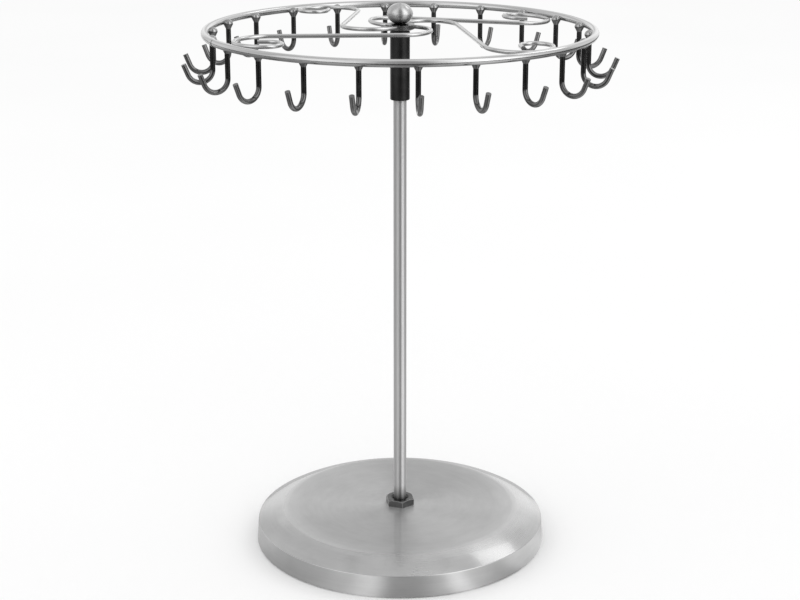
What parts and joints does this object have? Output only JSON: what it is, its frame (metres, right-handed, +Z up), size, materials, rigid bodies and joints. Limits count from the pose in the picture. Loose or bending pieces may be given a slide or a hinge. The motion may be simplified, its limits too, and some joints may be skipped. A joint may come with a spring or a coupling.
{
  "type": "revolving jewelry stand",
  "caption": "Table-top stand for hanging necklaces and bracelets: a wire ring with outward J-shaped hooks, carried by scroll arms, turns freely on a post that rises from a weighted round base.",
  "frame": {"origin": "on the post's axis, in the plane that the foot pad rests on", "axes": "+Z up along the post, -Y towards the front, +X to the viewer's right"},
  "size_m": [0.253, 0.2524, 0.333],
  "materials": {
    "spun_steel": "satin, fine circular grain",
    "plain_steel": "mill finish, zinc plated",
    "pad": "matt foam rubber",
    "ballast": "rough as cast",
    "post_steel": "satin, drawn lengthwise",
    "dark_steel": "dark turned steel",
    "black_plating": "black nickel, polished",
    "ball_steel": "satin polished",
    "wire_plating": "satin chrome",
    "hook_plating": "black nickel over drawn wire"
  },
  "bodies": {
    "stand": {"base_cover": "spun_steel", "ballast_weight": "ballast", "bottom_plate": "plain_steel", "foot_pad": "pad", "post": "post_steel", "post_nut": "dark_steel", "lower_nut": "dark_steel", "lower_washer": "plain_steel"},
    "carousel": {"hub_sleeve": "black_plating", "hub_head": "dark_steel", "finial_ball": "ball_steel", "carousel_ring": "wire_plating", "scroll_arm_1": "wire_plating", "scroll_arm_2": "wire_plating", "scroll_arm_3": "wire_plating", "scroll_arm_4": "wire_plating", "hook_01": "hook_plating", "hook_02": "hook_plating", "hook_03": "hook_plating", "hook_04": "hook_plating", "hook_05": "hook_plating", "hook_06": "hook_plating", "hook_07": "hook_plating", "hook_08": "hook_plating", "hook_09": "hook_plating", "hook_10": "hook_plating", "hook_11": "hook_plating", "hook_12": "hook_plating", "hook_13": "hook_plating", "hook_14": "hook_plating", "hook_15": "hook_plating", "hook_16": "hook_plating", "hook_17": "hook_plating", "hook_18": "hook_plating", "hook_19": "hook_plating", "hook_20": "hook_plating", "hook_21": "hook_plating", "hook_22": "hook_plating"}
  },
  "joints": [
    {"name": "carousel_spin", "type": "hinge", "parent": "stand", "child": "carousel", "pos_m": [0, 0, 0.30495], "axis": [0, 0, 1], "continuous": true}
  ]
}
